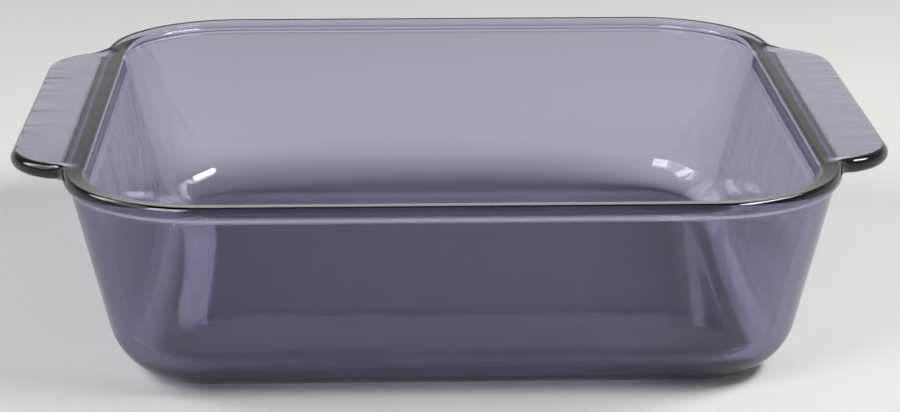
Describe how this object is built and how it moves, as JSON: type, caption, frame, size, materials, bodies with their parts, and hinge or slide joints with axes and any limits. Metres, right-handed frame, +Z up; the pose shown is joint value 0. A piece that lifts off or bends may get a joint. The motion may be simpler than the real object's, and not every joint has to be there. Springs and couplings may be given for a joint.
{
  "type": "square baking dish",
  "caption": "Square baking dish of clear violet pressed glass, with drafted walls, rounded corners, a flat-topped rim and a flat tab handle on opposite sides.",
  "frame": {"origin": "middle of the flat underside, on the table", "axes": "+X from handle to handle, +Y from the front wall to the back wall, +Z up out of the dish"},
  "size_m": [0.246, 0.2128, 0.0584],
  "materials": {
    "violet_glass": "clear violet glass, fire-polished gloss"
  },
  "bodies": {
    "root": {"glass_dish": "violet_glass"}
  },
  "joints": []
}
